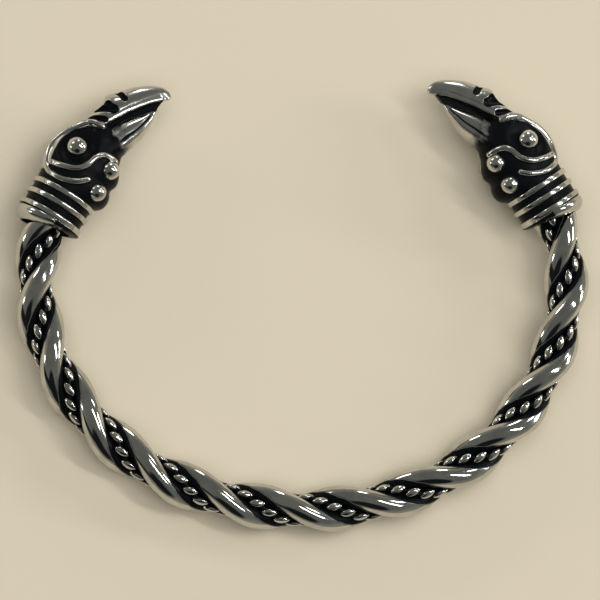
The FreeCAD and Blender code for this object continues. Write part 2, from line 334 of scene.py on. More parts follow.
# Where the black on the head gives way to polish: each pair is where the change starts and ends
POLISH_OVER_GROUND = (0.07, 0.20)
POLISH_ON_CROWN = (-0.9, -0.5)
POLISH_ON_CROWN_U = (4.6, 5.4)
BLACK_ROUND_HOLLOW = (0.02, 0.16)
BLACK_IN_BORE = (0.05, 0.35)
BLACK_ON_LIP = 0.45
# The upper mandible's root stays black, but for the wires
ROOT_SURFACE = (0.05, 0.20)
ROOT_V = (0.2, 0.9)
ROOT_CLEAR_OF_WIRES = (0.03, 0.10)
# Wear on the lower mandible, where no ball, wire or upper mandible is near
LOWER_SURFACE = (0.04, 0.16)
LOWER_CLEAR_OF_OTHERS = (0.05, 0.2)
LOWER_POLISH_V = (-0.6, 2.2)
LOWER_FULL_POLISH_V = (1.8, 4.0)
LOWER_WORN_POLISH = 0.46
LOWER_UNEVEN_POLISH = 0.06
LOWER_EDGE_POLISH = 0.38
LOWER_EDGE_DEPTH = 0.45
# Two crossed waves make the wear uneven: turn in radians for each millimetre of u, w and z, and shift
WEAR_WAVES = ((1.9, 1.1, 0.0, 0.8), (-1.3, 1.7, 0.9, 0.0))
# Black seam between the last band and the mouth's swelling, on the outer side
SEAM_BEFORE_BAND = 0.06
SEAM_WIDTH = 0.13
SEAM_W = (-1.0, 1.5)
# The swelling's inner side is black: how far before the last band, and how far inwards
MOUTH_BLACK_BEFORE_BAND = (0.03, 0.15)
MOUTH_BLACK_INWARDS = (0.0, 1.2)
# Its rim stays bright there: how far into the socket, and how far inwards
MOUTH_BRIGHT_RIM = (0.20, 0.40)
MOUTH_RIM_END_INWARDS = (1.4, 2.6)


# Placing
def along_hoop(station):
    """Point and heading, in radians, of the centre line at a distance from its start, in the ring's plane."""
    x, y = HOOP_START
    heading = math.radians(HOOP_START_HEADING)
    if station < 0.0:
        return x + station * math.cos(heading), y + station * math.sin(heading), heading
    left = station
    for radius, turn in HOOP_BENDS:
        angle = min(math.radians(turn), left / radius)
        x += radius * (math.sin(heading + angle) - math.sin(heading))
        y += radius * (math.cos(heading) - math.cos(heading + angle))
        heading += angle
        left -= radius * angle
    return x + left * math.cos(heading), y + left * math.sin(heading), heading


def twist(station):
    """Angle of the first beaded wire round the centre line, in radians from the inner side."""
    share = station / HOOP_LENGTH
    wave = math.sin(2.0 * math.pi * share + math.radians(TWIST_UNEVENNESS_SHIFT))
    return math.radians(TWIST_START + TWIST_TOTAL * share + TWIST_UNEVENNESS * wave)


def laid_down():
    """Matrix from the ring's own plane, in millimetres, to where it lies, in metres."""
    lie = Matrix.Translation(Vector(GROUND_SHIFT)) @ Matrix.Rotation(math.radians(REST_PITCH), 4, "X")
    return Matrix.Scale(MM, 4) @ lie


def head_matrix(station, side):
    """Head frame to ring's plane; side is 1 for the left head and -1 for the right one."""
    x, y, heading = along_hoop(station)
    out = heading + math.pi if side > 0 else heading
    axis = out - side * math.radians(NECK_BEND)
    u = Vector((math.cos(axis), math.sin(axis), 0.0))
    w = Vector((-math.sin(axis), math.cos(axis), 0.0)) * side
    z = Vector((0.0, 0.0, side))
    place = Matrix((u, w, z)).transposed().to_4x4()
    place.translation = Vector((x, y, 0.0)) - u * MOUTH_U - w * MOUTH_W
    return place


# Helpers for objects and nodes
def add_to_scene(name, data):
    made = bpy.data.objects.new(name, data)
    bpy.context.scene.collection.objects.link(made)
    return made


def node(tree, kind, **settings):
    made = tree.nodes.new(kind)
    for key, value in settings.items():
        setattr(made, key, value)
    return made


def value_into(tree, value, socket):
    """Puts a value or another node's output into a socket."""
    if isinstance(value, bpy.types.NodeSocket):
        tree.links.new(value, socket)
    else:
        socket.default_value = value


def arithmetic(tree, operation, first, second=None):
    made = node(tree, "ShaderNodeMath", operation=operation)
    value_into(tree, first, made.inputs[0])
    if second is not None:
        value_into(tree, second, made.inputs[1])
    return made.outputs[0]


def eased(tree, value, low, high):
    """Smooth change from zero at low to one at high."""
    made = node(tree, "ShaderNodeMapRange", interpolation_type="SMOOTHSTEP")
    value_into(tree, value, made.inputs["Value"])
    made.inputs["From Min"].default_value = low
    made.inputs["From Max"].default_value = high
    return made.outputs["Result"]


def mixed_colours(tree, share, first, second):
    """The first colour where the share is zero, the second one where it is one."""
    made = node(tree, "ShaderNodeMix", data_type="RGBA")
    value_into(tree, share, made.inputs["Factor"])
    value_into(tree, first, made.inputs["A"])
    value_into(tree, second, made.inputs["B"])
    return made.outputs["Result"]


def noise(tree, place, scale, detail):
    made = node(tree, "ShaderNodeTexNoise")
    value_into(tree, place, made.inputs["Vector"])
    made.inputs["Scale"].default_value = scale
    made.inputs["Detail"].default_value = detail
    return made.outputs["Fac"]


# Camera, floor and lights
def add_camera():
    """Adds the camera, and returns the point that it looks at."""
    lie = laid_down()
    turn = lie.to_3x3().normalized()
    view = (turn @ Vector(CAMERA_LEAN)).normalized()
    right = (turn @ Vector((0.0, 1.0, 0.0))).cross(view).normalized()
    up = view.cross(right)
    target = lie @ Vector((0.0, 0.0, 0.0))
    data = bpy.data.cameras.new("camera")
    data.sensor_width = CAMERA_SENSOR
    data.lens = CAMERA_SENSOR * CAMERA_DISTANCE / PICTURE_WIDTH
    data.clip_start = CAMERA_CLIP_START * MM
    camera = add_to_scene("camera", data)
    place = Matrix((right, up, view)).transposed().to_4x4()
    place.translation = target + view * CAMERA_DISTANCE * MM
    camera.matrix_world = place
    bpy.context.scene.camera = camera
    return target


def set_tones():
    view = bpy.context.scene.view_settings
    view.view_transform = "Standard"
    view.look = "None"


def add_floor():
    half = FLOOR_HALF_WIDTH
    corners = [(-half, -half, 0), (half, -half, 0), (half, half, 0), (-half, half, 0)]
    mesh = bpy.data.meshes.new("floor")
    mesh.from_pydata(corners, [], [(0, 1, 2, 3)])
    material = bpy.data.materials.new("pale_floor")
    material.use_nodes = True
    shader = material.node_tree.nodes["Principled BSDF"]
    shader.inputs["Base Color"].default_value = FLOOR_COLOUR
    shader.inputs["Roughness"].default_value = FLOOR_ROUGHNESS
    mesh.materials.append(material)
    floor = add_to_scene("floor", mesh)


def direction(heading, height):
    around = math.radians(heading)
    above = math.radians(height)
    return Vector((math.cos(around) * math.cos(above), math.sin(around) * math.cos(above), math.sin(above)))


def area_lamp(name, watts, breadth, length, place, along, away):
    """Rectangular lamp whose light falls against the direction away, with its length along the other one."""
    data = bpy.data.lights.new(name, "AREA")
    data.shape = "RECTANGLE"
    data.size = length
    data.size_y = breadth
    data.energy = watts
    lamp = add_to_scene(name, data)
    across = away.cross(along).normalized()
    turn = Matrix((across.cross(away), across, away)).transposed().to_4x4()
    lamp.matrix_world = Matrix.Translation(place) @ turn
    return lamp


def add_lamps(target):
    for number, (heading_a, height_a, heading_b, height_b, breadth, watts) in enumerate(LAMPS):
        first = direction(heading_a, height_a) * LAMP_DISTANCE
        last = direction(heading_b, height_b) * LAMP_DISTANCE
        middle = 0.5 * (first + last)
        run = last - first
        area_lamp(f"lamp_{number}", watts, breadth, run.length, target + middle, run, middle.normalized())
    overhead = Vector((0.0, 0.0, 1.0))
    soft = area_lamp(
        "soft_lamp", SOFT_LAMP_WATTS, SOFT_LAMP_SIZE, SOFT_LAMP_SIZE,
        target + overhead * SOFT_LAMP_HEIGHT, Vector((1.0, 0.0, 0.0)), overhead,
    )
    soft.visible_glossy = False


def cosine_to(tree, way, middle):
    """Cosine of the angle between each direction and a middle one."""
    made = node(tree, "ShaderNodeVectorMath", operation="DOT_PRODUCT")
    value_into(tree, way, made.inputs[0])
    made.inputs[1].default_value = Vector(middle).normalized()
    return made.outputs["Value"]


def add_room():
    """Grey room round the ring, lighter low down, with a dark side in front."""
    world = bpy.data.worlds.new("room")
    world.use_nodes = True
    tree = world.node_tree
    way = node(tree, "ShaderNodeTexCoord").outputs["Generated"]
    height = node(tree, "ShaderNodeSeparateXYZ")
    value_into(tree, way, height.inputs[0])
    wall = mixed_colours(tree, eased(tree, height.outputs["Z"], *ROOM_CHANGE), ROOM_LOW, ROOM_HIGH)
    side = eased(tree, cosine_to(tree, way, ROOM_DARK_SIDE), *ROOM_DARK_EDGE)
    from_band = arithmetic(tree, "ABSOLUTE", cosine_to(tree, way, ROOM_BAND_POLE))
    band = arithmetic(
        tree, "MULTIPLY",
        arithmetic(tree, "SUBTRACT", 1.0, eased(tree, from_band, *ROOM_BAND_EDGE)),
        eased(tree, cosine_to(tree, way, ROOM_BAND_MIDDLE), *ROOM_BAND_ENDS),
    )
    tone = mixed_colours(tree, arithmetic(tree, "MAXIMUM", side, band), wall, ROOM_DARK)
    value_into(tree, tone, tree.nodes["Background"].inputs["Color"])
    bpy.context.scene.world = world


# Finish
def patinated_steel(name, measure, polish_range, polished_roughness):
    """Polished steel with a black patina where the piece's own measure is low."""
    material = bpy.data.materials.new(name)
    material.use_nodes = True
    tree = material.node_tree
    shader = tree.nodes["Principled BSDF"].inputs
    place = node(tree, "ShaderNodeTexCoord").outputs["Object"]
    low, high = polish_range

    attribute = node(tree, "ShaderNodeAttribute", attribute_name=measure).outputs["Fac"]
    grain = noise(tree, place, PATINA_EDGE_SCALE, PATINA_EDGE_DETAIL)
    wander = arithmetic(
        tree, "MULTIPLY", arithmetic(tree, "SUBTRACT", grain, 0.5), (high - low) * PATINA_EDGE_WANDER,
    )
    polish = eased(tree, arithmetic(tree, "ADD", attribute, wander), low, high)
    handled = eased(tree, noise(tree, place, HANDLING_SCALE, HANDLING_DETAIL), *HANDLING_RANGE)

    steel = mixed_colours(tree, handled, DULL_STEEL, BRIGHT_STEEL)
    value_into(tree, mixed_colours(tree, polish, BLACK_PATINA, steel), shader["Base Color"])
    value_into(tree, eased(tree, polish, *METAL_FROM_POLISH), shader["Metallic"])
    shader["Specular IOR Level"].default_value = PATINA_GLOSS

    rough = node(tree, "ShaderNodeMapRange")
    value_into(tree, polish, rough.inputs["Value"])
    rough.inputs["To Min"].default_value = PATINA_ROUGHNESS
    rough.inputs["To Max"].default_value = polished_roughness
    dulled = arithmetic(tree, "MULTIPLY", arithmetic(tree, "SUBTRACT", 1.0, handled), HANDLING_DULLNESS)
    value_into(tree, arithmetic(tree, "ADD", rough.outputs["Result"], dulled), shader["Roughness"])

    bump = node(tree, "ShaderNodeBump")
    value_into(tree, noise(tree, place, WAVINESS_SCALE, WAVINESS_DETAIL), bump.inputs["Height"])
    bump.inputs["Strength"].default_value = WAVINESS_STRENGTH
    bump.inputs["Distance"].default_value = WAVINESS_DEPTH * MM
    value_into(tree, bump.outputs["Normal"], shader["Normal"])
    return material


# Pieces that follow the hoop's centre line, made by Geometry Nodes
def centre_line(overrun):
    """Mesh line along the hoop, each point with its directions and the twist there."""
    count = CENTRE_LINE_STATIONS
    points, inwards, alongs, turned = [], [], [], []
    for index in range(count + 1):
        station = -overrun + (HOOP_LENGTH + 2.0 * overrun) * index / count
        x, y, heading = along_hoop(station)
        points.append((x, y, 0.0))
        inwards.append((-math.sin(heading), math.cos(heading), 0.0))
        alongs.append((math.cos(heading), math.sin(heading), 0.0))
        turned.append(twist(station))
    mesh = bpy.data.meshes.new("centre_line")
    mesh.from_pydata(points, [(i, i + 1) for i in range(count)], [])
    for name, values in (("inward", inwards), ("along", alongs)):
        layer = mesh.attributes.new(name, "FLOAT_VECTOR", "POINT")
        layer.data.foreach_set("vector", np.array(values, np.float32).ravel())
    layer = mesh.attributes.new("turned", "FLOAT", "POINT")
    layer.data.foreach_set("value", np.array(turned, np.float32))
    return add_to_scene("centre_line", mesh)


class Tree:
    """A Geometry Nodes tree with named inputs, built one node at a time."""

    def __init__(self, name, inputs):
        self.tree = bpy.data.node_groups.new(name, "GeometryNodeTree")
        self.tree.interface.new_socket(name="Geometry", in_out="INPUT", socket_type="NodeSocketGeometry")
        self.settings = {}
        for label, kind, value in inputs:
            socket = self.tree.interface.new_socket(name=label, in_out="INPUT", socket_type=kind)
            self.settings[socket.identifier] = value
        self.tree.interface.new_socket(name="Geometry", in_out="OUTPUT", socket_type="NodeSocketGeometry")
        self.entry = self.tree.nodes.new("NodeGroupInput")
        self.exit = self.tree.nodes.new("NodeGroupOutput")

    def input(self, label):
        return self.entry.outputs[label]

    def put(self, kind, values=None, **settings):
        made = node(self.tree, kind, **settings)
        for key, value in (values or {}).items():
            value_into(self.tree, value, made.inputs[key])
        return made

    def maths(self, operation, first, second=None):
        return arithmetic(self.tree, operation, first, second)

    def vectors(self, operation, first, second=None):
        made = self.put("ShaderNodeVectorMath", operation=operation)
        value_into(self.tree, first, made.inputs[0])
        if second is not None:
            key = "Scale" if operation == "SCALE" else 1
            value_into(self.tree, second, made.inputs[key])
        return made.outputs["Value" if operation in ("DOT_PRODUCT", "LENGTH") else "Vector"]

    def attribute(self, name, kind):
        made = self.put("GeometryNodeInputNamedAttribute", {"Name": name}, data_type=kind)
        return made.outputs["Attribute"]

    def store(self, geometry, name, kind, value):
        made = self.put("GeometryNodeStoreNamedAttribute", data_type=kind, domain="POINT")
        value_into(self.tree, geometry, made.inputs["Geometry"])
        made.inputs["Name"].default_value = name
        value_into(self.tree, value, made.inputs["Value"])
        return made.outputs["Geometry"]

    def smoothed(self, geometry):
        return self.put("GeometryNodeSetShadeSmooth", {"Geometry": geometry}).outputs[0]

    def finish(self, geometry, material):
        real = self.put("GeometryNodeRealizeInstances", {"Geometry": geometry})
        coat = self.put("GeometryNodeSetMaterial", {"Geometry": real.outputs[0], "Material": material})
        value_into(self.tree, coat.outputs[0], self.exit.inputs[0])

    def made_from(self, line, name):
        """Runs the tree on the line and returns the result as a plain mesh object, laid down in metres."""
        modifier = line.modifiers.new("making", "NODES")
        modifier.node_group = self.tree
        for identifier, value in self.settings.items():
            modifier[identifier] = value
        bpy.context.view_layer.update()
        shaped = line.evaluated_get(bpy.context.evaluated_depsgraph_get())
        mesh = bpy.data.meshes.new_from_object(shaped)
        line.modifiers.remove(modifier)
        mesh.name = name
        mesh.transform(laid_down())
        return add_to_scene(name, mesh)


def strand_path(tree, orbit, lead):
    """Turns the centre line into a strand that circles it; each point keeps where it came from."""
    angle = tree.maths("ADD", tree.attribute("turned", "FLOAT"), lead)
    inward = tree.vectors("SCALE", tree.attribute("inward", "FLOAT_VECTOR"), tree.maths("COSINE", angle))
    lift = tree.put("ShaderNodeCombineXYZ", {"Z": tree.maths("SINE", angle)}).outputs[0]
    outward = tree.vectors("ADD", inward, lift)
    place = tree.put("GeometryNodeInputPosition").outputs[0]
    line = tree.store(tree.entry.outputs["Geometry"], "axis_point", "FLOAT_VECTOR", place)
    line = tree.store(line, "outward", "FLOAT_VECTOR", outward)
    moved = tree.put("GeometryNodeSetPosition", {
        "Geometry": line,
        "Offset": tree.vectors("SCALE", tree.attribute("outward", "FLOAT_VECTOR"), orbit),
    })
    return tree.put("GeometryNodeMeshToCurve", {"Mesh": moved.outputs[0]}).outputs[0]


def swept(tree, path, radius, sides):
    """Round bar along a path, with closed ends."""
    ring = tree.put("GeometryNodeCurvePrimitiveCircle", {"Radius": radius, "Resolution": sides})
    tube = tree.put("GeometryNodeCurveToMesh", {
        "Curve": path, "Profile Curve": ring.outputs[0], "Fill Caps": True,
    })
    return tube.outputs[0]


def with_axis_distance(tree, geometry):
    """Stores how far each point is from the hoop's centre line."""
    place = tree.put("GeometryNodeInputPosition").outputs[0]
    away = tree.vectors("SUBTRACT", place, tree.attribute("axis_point", "FLOAT_VECTOR"))
    along = tree.attribute("along", "FLOAT_VECTOR")
    ahead = tree.vectors("SCALE", along, tree.vectors("DOT_PRODUCT", away, along))
    distance = tree.vectors("LENGTH", tree.vectors("SUBTRACT", away, ahead))
    return tree.store(geometry, "from_axis", "FLOAT", distance)


def plain_rod(name, line, lead, material):
    """One rod of the rope; lead is its angle ahead of the first beaded wire, in radians."""
    tree = Tree("twisted rod", (
        ("Rod orbit", "NodeSocketFloat", ROD_ORBIT),
        ("Rod radius", "NodeSocketFloat", ROD_RADIUS),
        ("Lead angle", "NodeSocketFloat", lead),
        ("Sides", "NodeSocketInt", ROD_SIDES),
    ))
    path = strand_path(tree, tree.input("Rod orbit"), tree.input("Lead angle"))
    rod = with_axis_distance(tree, swept(tree, path, tree.input("Rod radius"), tree.input("Sides")))
    tree.finish(tree.smoothed(rod), material)
    return tree.made_from(line, name)


def slanted_grain(tree):
    """A ball drawn out to a domed oval that narrows to its ends; each point keeps how far it stands up."""
    ball = tree.put("GeometryNodeMeshUVSphere", {
        "Segments": GRAIN_SEGMENTS, "Rings": GRAIN_RINGS, "Radius": 0.5,
    })
    place = tree.put("ShaderNodeSeparateXYZ", {"Vector": tree.put("GeometryNodeInputPosition").outputs[0]})
    along, across, up = (place.outputs[axis] for axis in "XYZ")
    narrowed = tree.maths("MULTIPLY", tree.maths("MULTIPLY", along, along), GRAIN_NARROWING)
    fullness = tree.maths("SUBTRACT", 1.0, narrowed)
    width = tree.maths("MULTIPLY", tree.input("Grain width"), fullness)
    height = tree.maths("MULTIPLY", tree.input("Grain height"), fullness)
    rounded = tree.maths("POWER", tree.maths("MULTIPLY", tree.maths("ABSOLUTE", up), 2.0), GRAIN_DOME_POWER)
    shape = tree.put("ShaderNodeCombineXYZ", {
        "X": tree.maths("MULTIPLY", along, tree.input("Grain length")),
        "Y": tree.maths("MULTIPLY", across, width),
        "Z": tree.maths("MULTIPLY", tree.maths("MULTIPLY", rounded, tree.maths("SIGN", up)), height),
    })
    grain = tree.put("GeometryNodeSetPosition", {
        "Geometry": ball.outputs["Mesh"], "Position": shape.outputs[0],
    })
    return tree.store(tree.smoothed(grain.outputs[0]), "proud", "FLOAT", up)


def grain_turn(tree):
    """Turn that lays a grain on the wire, slanted to it and facing out of the rope."""
    tangent = tree.put("GeometryNodeInputTangent").outputs[0]
    ahead = tree.put("FunctionNodeAlignRotationToVector", {"Vector": tangent}, axis="X")
    facing = tree.put("FunctionNodeAlignRotationToVector", {
        "Rotation": ahead.outputs[0], "Vector": tree.attribute("outward", "FLOAT_VECTOR"),
    }, axis="Z", pivot_axis="X")
    slant = tree.put("ShaderNodeCombineXYZ", {"Z": tree.input("Grain slant")})
    turned = tree.put("FunctionNodeRotateRotation", {
        "Rotation": facing.outputs[0], "Rotate By": slant.outputs[0],
    }, rotation_space="LOCAL")
    return turned.outputs[0]


def beaded_wire(name, line, lead, material):
    """One beaded wire of the rope; lead is its angle ahead of the first one, in radians."""
    stretch = math.hypot(1.0, WIRE_ORBIT * math.radians(TWIST_TOTAL) / HOOP_LENGTH)
    count = round((HOOP_LENGTH + 2.0 * WIRE_END_IN_SOCKET) * stretch / GRAIN_PITCH)
    tree = Tree("beaded wire", (
        ("Wire orbit", "NodeSocketFloat", WIRE_ORBIT),
        ("Wire radius", "NodeSocketFloat", WIRE_RADIUS),
        ("Lead angle", "NodeSocketFloat", lead),
        ("Grains", "NodeSocketInt", count),
        ("Grain length", "NodeSocketFloat", GRAIN_LENGTH),
        ("Grain width", "NodeSocketFloat", GRAIN_WIDTH),
        ("Grain height", "NodeSocketFloat", GRAIN_HEIGHT),
        ("Grain slant", "NodeSocketFloat", math.radians(GRAIN_SLANT)),
    ))
    path = strand_path(tree, tree.input("Wire orbit"), tree.input("Lead angle"))
    core = tree.store(swept(tree, path, tree.input("Wire radius"), WIRE_SIDES), "proud", "FLOAT", 0.0)
    spaced = tree.put("GeometryNodeResampleCurve", {"Curve": path, "Count": tree.input("Grains")})
    grains = tree.put("GeometryNodeInstanceOnPoints", {
        "Points": spaced.outputs[0], "Instance": slanted_grain(tree), "Rotation": grain_turn(tree),
    })
    joined = tree.put("GeometryNodeJoinGeometry")
    for part in (core, grains.outputs[0]):
        value_into(tree.tree, part, joined.inputs[0])
    tree.finish(joined.outputs[0], material)
    return tree.made_from(line, name)


# Shaping by distance: a solid is an array of distances from its surface, negative inside
def between(table, column, at):
    """Smooth reading of a table's column at many places."""
    rows = np.array(table, np.float64)
    x = rows[:, 0]
    y = rows[:, column]
    slope = np.gradient(y, x)
    at = np.clip(at, x[0], x[-1])
    i = np.clip(np.searchsorted(x, at) - 1, 0, len(x) - 2)
    width = x[i + 1] - x[i]
    t = (at - x[i]) / width
    return (
        y[i] * (1.0 + 2.0 * t) * (1.0 - t) ** 2
        + slope[i] * width * t * (1.0 - t) ** 2
        + y[i + 1] * t * t * (3.0 - 2.0 * t)
        + slope[i + 1] * width * t * t * (t - 1.0)
    )


def past_ends(table, at):
    """Distance past a table's first or last station, negative between them."""
    return np.maximum(at - table[-1][0], table[0][0] - at)


def rise(value, low, high):
    """Smooth change from zero at low to one at high."""
    t = np.clip((value - low) / (high - low), 0.0, 1.0)
    return t * t * (3.0 - 2.0 * t)


def fall(value, low, high):
    """Smooth change from one at low to zero at high."""
    return rise(-value, -high, -low)


def hump(value, middle, width):
    """Bell-shaped hump, one at its middle."""
    return np.exp(-(((value - middle) / width) ** 2))


def nearest_of(distances):
    """Union of solids."""
    return functools.reduce(np.minimum, distances)


def joined_softly(first, second, reach):
    """Union of two solids with a fillet of about the reach."""
    mix = np.clip(0.5 + 0.5 * (second - first) / reach, 0.0, 1.0)
    return second + (first - second) * mix - reach * mix * (1.0 - mix)


def cut_softly(body, cutter, reach):
    return -joined_softly(-body, cutter, reach)


def oval_distance(across, upward, half_across, half_upward, power=2.0):
    """Distance along the ray from the middle of an oval to its outline; a higher power squares the oval."""
    share = (np.abs(across / half_across) ** power + np.abs(upward / half_upward) ** power) ** (1.0 / power)
    return np.hypot(across, upward) * (1.0 - 1.0 / np.maximum(share, LEAST_SHARE))


def own_frame(root, slope, u, w):
    """Distance along and height above a line that leaves its root at a slope."""
    angle = math.radians(slope)
    a = u - root[0]
    b = w - root[1]
    return a * math.cos(angle) + b * math.sin(angle), -a * math.sin(angle) + b * math.cos(angle)


def tube_distance(path, u, w, z):
    """Distance from a tube along a path whose points are (u, w, height, radius)."""
    nearest = np.full(u.shape, FAR_AWAY)
    for first, last in zip(path, path[1:]):
        run = last - first
        du, dw, dz = u - first[0], w - first[1], z - first[2]
        share = np.clip((du * run[0] + dw * run[1] + dz * run[2]) / run[:3].dot(run[:3]), 0.0, 1.0)
        gap = (du - share * run[0]) ** 2 + (dw - share * run[1]) ** 2 + (dz - share * run[2]) ** 2
        nearest = np.minimum(nearest, np.sqrt(gap) - first[3] - share * run[3])
    return nearest


# The head's socket
def from_mouth(u, w):
    """Distance into the socket from its mouth, and height over the bore's axis."""
    return own_frame((MOUTH_U, MOUTH_W), NECK_BEND, u, w)


def neck_distance(u, w, z):
    return np.maximum(np.hypot(w, z) - GROOVE_RADIUS, np.maximum(-u, u - NECK_END_U))


def band_distance(u, w, z):
    """Three rings with rounded edges."""
    depth = 0.5 * (BAND_RADIUS - BAND_INNER_RADIUS)
    b = np.abs(np.hypot(w, z) - (BAND_RADIUS - depth)) - (depth - BAND_ROUNDING)
    rings = []
    for station in BAND_STATIONS:
        a = np.abs(u - station) - (BAND_HALF_WIDTH - BAND_ROUNDING)
        outside = np.hypot(np.maximum(a, 0.0), np.maximum(b, 0.0)) - BAND_ROUNDING
        rings.append(outside + np.minimum(np.maximum(a, b), 0.0))
    return nearest_of(rings)


def mouth_distance(u, w, z):
    """Swollen mouth between the last band and the mouth's tilted plane."""
    root = -BAND_HALF_WIDTH + MOUTH_UNDER_BAND - u
    face, _ = from_mouth(u, w)
    share = np.clip(root / np.maximum(root + face, LEAST_RUN), 0.0, 1.0)
    side = np.hypot(w - MOUTH_W * share, z) - between(MOUTH_SWELL, 1, share)
    return -joined_softly(-side, np.minimum(face, root), MOUTH_ROUNDING)


def bore_distance(u, w, z):
    along, across = from_mouth(u, w)
    return np.maximum(np.hypot(across, z) - SOCKET_BORE_RADIUS, np.abs(along) - SOCKET_BORE_DEPTH)


# The head's skull, with its eye, balls and wires
def skull_section(u):
    """Middle, half height and half breadth of the skull at a station."""
    crown = between(SKULL_SECTIONS, 1, u)
    throat = between(SKULL_SECTIONS, 2, u)
    return 0.5 * (crown + throat), 0.5 * (crown - throat), between(SKULL_SECTIONS, 3, u)


def skull_distance(u, w, z):
    middle, half_height, half_breadth = skull_section(u)
    return np.maximum(oval_distance(z, w - middle, half_breadth, half_height), past_ends(SKULL_SECTIONS, u))


def cheek_height(u, w):
    """Height of the skull's side over a point (u, w)."""
    middle, half_height, half_breadth = skull_section(u)
    inside = 1.0 - ((w - middle) / half_height) ** 2
    return half_breadth * np.sqrt(np.maximum(inside, CHEEK_LEAST_SHARE))


def eye_bowl(u, w, z):
    """Depth that the eye socket takes off the cheek."""
    a, b = own_frame(EYE_SOCKET_PLACE, EYE_SOCKET_SLANT, u, w)
    out = np.hypot(a / EYE_SOCKET_HALF[0], b / EYE_SOCKET_HALF[1])
    return EYE_SOCKET_DEPTH * rise(EYE_SOCKET_RIM - out, 0.0, EYE_SOCKET_SLOPE) * rise(z, *EYE_SOCKET_Z)


def ball_distance(u, w, z):
    return nearest_of(
        np.sqrt((u - ball_u) ** 2 + (w - ball_w) ** 2 + (z - height) ** 2) - radius
        for ball_u, ball_w, height, radius in CHEEK_BALLS
    )


def relief_wire(points):
    """Path of a raised wire through a few points, on the cheek, or over the beak's root on its flank."""
    rows = np.array([(k, *point) for k, point in enumerate(points)], np.float64)
    runs = len(points) - 1
    at = np.linspace(0.0, runs, runs * WIRE_POINTS_EACH_RUN + 1)
    u = between(rows, 1, at)
    w = between(rows, 2, at)
    cheek = cheek_height(u, w)
    height = np.where(u > CREST_WIRE_ON_BEAK_U, np.maximum(cheek, flank_height(u, w)), cheek)
    padded = np.pad(height, WIRE_LEVELLING_POINTS // 2, mode="edge")
    levelled = sum(padded[k:k + len(height)] for k in range(WIRE_LEVELLING_POINTS)) / WIRE_LEVELLING_POINTS
    radius = RELIEF_WIRE_RADIUS + WIRE_SWELLING * hump(u, WIRE_SWELLING_U, WIRE_SWELLING_WIDTH)
    return np.stack([u, w, levelled, radius], axis=1)


def wire_distance(u, w, z):
    return nearest_of(tube_distance(relief_wire(points), u, w, z) for points in (CREST_WIRE, RIM_WIRE))


# The head's beak
def lip_groove(v, over_edge):
    """Strength of the fine groove over the upper mandible's lip."""
    return hump(over_edge, LIP_HEIGHT, LIP_WIDTH) * rise(v, *LIP_START_V) * fall(v, *LIP_END_V)


def upper_mandible(u, w, z):
    v, h = own_frame(UPPER_ROOT, UPPER_SLOPE, u, w)
    edge = between(UPPER_MANDIBLE, 2, v)
    half_up = np.where(h > edge, between(UPPER_MANDIBLE, 1, v) - edge, UPPER_UNDERSIDE)
    power = np.where(h > edge, UPPER_ROUNDNESS, UPPER_UNDERSIDE_ROUNDNESS)
    side = oval_distance(z, h - edge, between(UPPER_MANDIBLE, 3, v), half_up, power)
    return np.maximum(side + LIP_DEPTH * lip_groove(v, h - edge), past_ends(UPPER_MANDIBLE, v))


def flank_height(u, w):
    """Height of the upper mandible's flank over a point (u, w)."""
    v, h = own_frame(UPPER_ROOT, UPPER_SLOPE, u, w)
    edge = between(UPPER_MANDIBLE, 2, v)
    share = np.clip((h - edge) / (between(UPPER_MANDIBLE, 1, v) - edge), 0.0, UPPER_FLANK_TOP_SHARE)
    return between(UPPER_MANDIBLE, 3, v) * (1.0 - share ** UPPER_ROUNDNESS) ** (1.0 / UPPER_ROUNDNESS)


def hollow_distance(u, w, z):
    """Short rounded grooves sunk into the upper mandible's flank."""
    grooves = []
    for first_u, first_w, last_u, last_w, radius, depth in BROW_HOLLOWS:
        lift = radius - depth
        path = np.array([
            (first_u, first_w, flank_height(first_u, first_w) + lift, radius),
            (last_u, last_w, flank_height(last_u, last_w) + lift, radius),
        ])
        grooves.append(tube_distance(path, u, w, z))
    return nearest_of(grooves)


def lower_edges(v):
    """Heights of the lower mandible's cutting edge, ridge and chin."""
    top = between(LOWER_MANDIBLE, 1, v)
    chin = between(LOWER_MANDIBLE, 2, v)
    return top, chin + LOWER_RIDGE_SHARE * (top - chin), chin


def along_flank(v):
    """One along the lower mandible's flank, fading out at its root and tip."""
    return rise(v, *FLANK_START_V) * fall(v, *FLANK_END_V)


def ridge_groove(v, over_ridge):
    """Strength of the groove between the lower mandible's flank and its ridge."""
    return hump(over_ridge, RIDGE_GROOVE_HEIGHT, RIDGE_GROOVE_WIDTH) * along_flank(v)


def lower_mandible(u, w, z):
    v, h = own_frame(LOWER_ROOT, LOWER_SLOPE, u, w)
    top, ridge, chin = lower_edges(v)
    half_up = np.where(h > ridge, top - ridge, ridge - chin)
    power = np.where(h > ridge, LOWER_FLANK_ROUNDNESS, LOWER_CHIN_ROUNDNESS)
    side = oval_distance(z, h - ridge, between(LOWER_MANDIBLE, 3, v), half_up, power)
    setback = FLANK_SETBACK * rise(h - ridge, *FLANK_SETBACK_HEIGHT) * along_flank(v)
    groove = RIDGE_GROOVE_DEPTH * ridge_groove(v, h - ridge)
    return np.maximum(side + setback + groove, past_ends(LOWER_MANDIBLE, v))


def web_distance(u, w, z):
    """Plate between the mandibles, bounded by straight sides."""
    outside = np.full(u.shape, -FAR_AWAY)
    for (u0, w0), (u1, w1) in zip(MOUTH_WEB, MOUTH_WEB[1:] + MOUTH_WEB[:1]):
        length = math.hypot(u1 - u0, w1 - w0)
        outside = np.maximum(outside, ((u - u0) * (w1 - w0) - (w - w0) * (u1 - u0)) / length)
    return np.maximum(outside, np.abs(z) - MOUTH_WEB_HALF_BREADTH)


